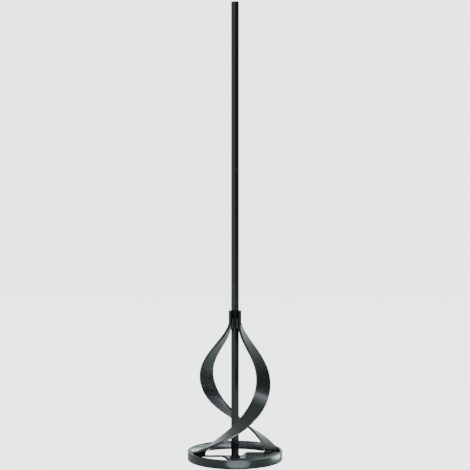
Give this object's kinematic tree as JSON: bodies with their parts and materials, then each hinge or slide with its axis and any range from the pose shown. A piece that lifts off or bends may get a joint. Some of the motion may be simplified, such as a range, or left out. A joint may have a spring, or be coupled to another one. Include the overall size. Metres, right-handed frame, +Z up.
{
  "type": "mortar mixing paddle",
  "caption": "Hex-shank mixing paddle for a drill: helical steel blades welded to a straight hexagonal shaft, a crossbar and a round guard ring.",
  "frame": {"origin": "centre of the guard ring, on the plane of its lower edge, where the shaft's axis meets it", "axes": "+Z up the shaft towards its driven end; +X and -X point at the two shaft flats that carry the blades' upper ends"},
  "size_m": [0.12, 0.12, 0.58],
  "materials": {
    "shaft_steel": "glossy dark charcoal paint on drawn hexagonal bar",
    "blade_steel": "glossy dark charcoal paint on bent flat bar",
    "ring_steel": "glossy dark charcoal paint on rolled flat bar",
    "crossbar_steel": "glossy dark charcoal paint on pressed flat bar",
    "weld_beads": "dark charcoal paint over rippled weld beads"
  },
  "bodies": {
    "root": {"shaft": "shaft_steel", "blade_right": "blade_steel", "blade_left": "blade_steel", "ring": "ring_steel", "crossbar": "crossbar_steel", "shaft_weld_right_front": "weld_beads", "shaft_weld_right_back": "weld_beads", "shaft_weld_left_front": "weld_beads", "shaft_weld_left_back": "weld_beads", "blade_ring_weld_right": "weld_beads", "blade_ring_weld_left": "weld_beads", "blade_crossbar_weld_right": "weld_beads", "blade_crossbar_weld_left": "weld_beads", "crossbar_ring_weld_right": "weld_beads", "crossbar_ring_weld_left": "weld_beads", "shaft_crossbar_weld": "weld_beads", "ring_seam_weld": "weld_beads"}
  },
  "joints": []
}
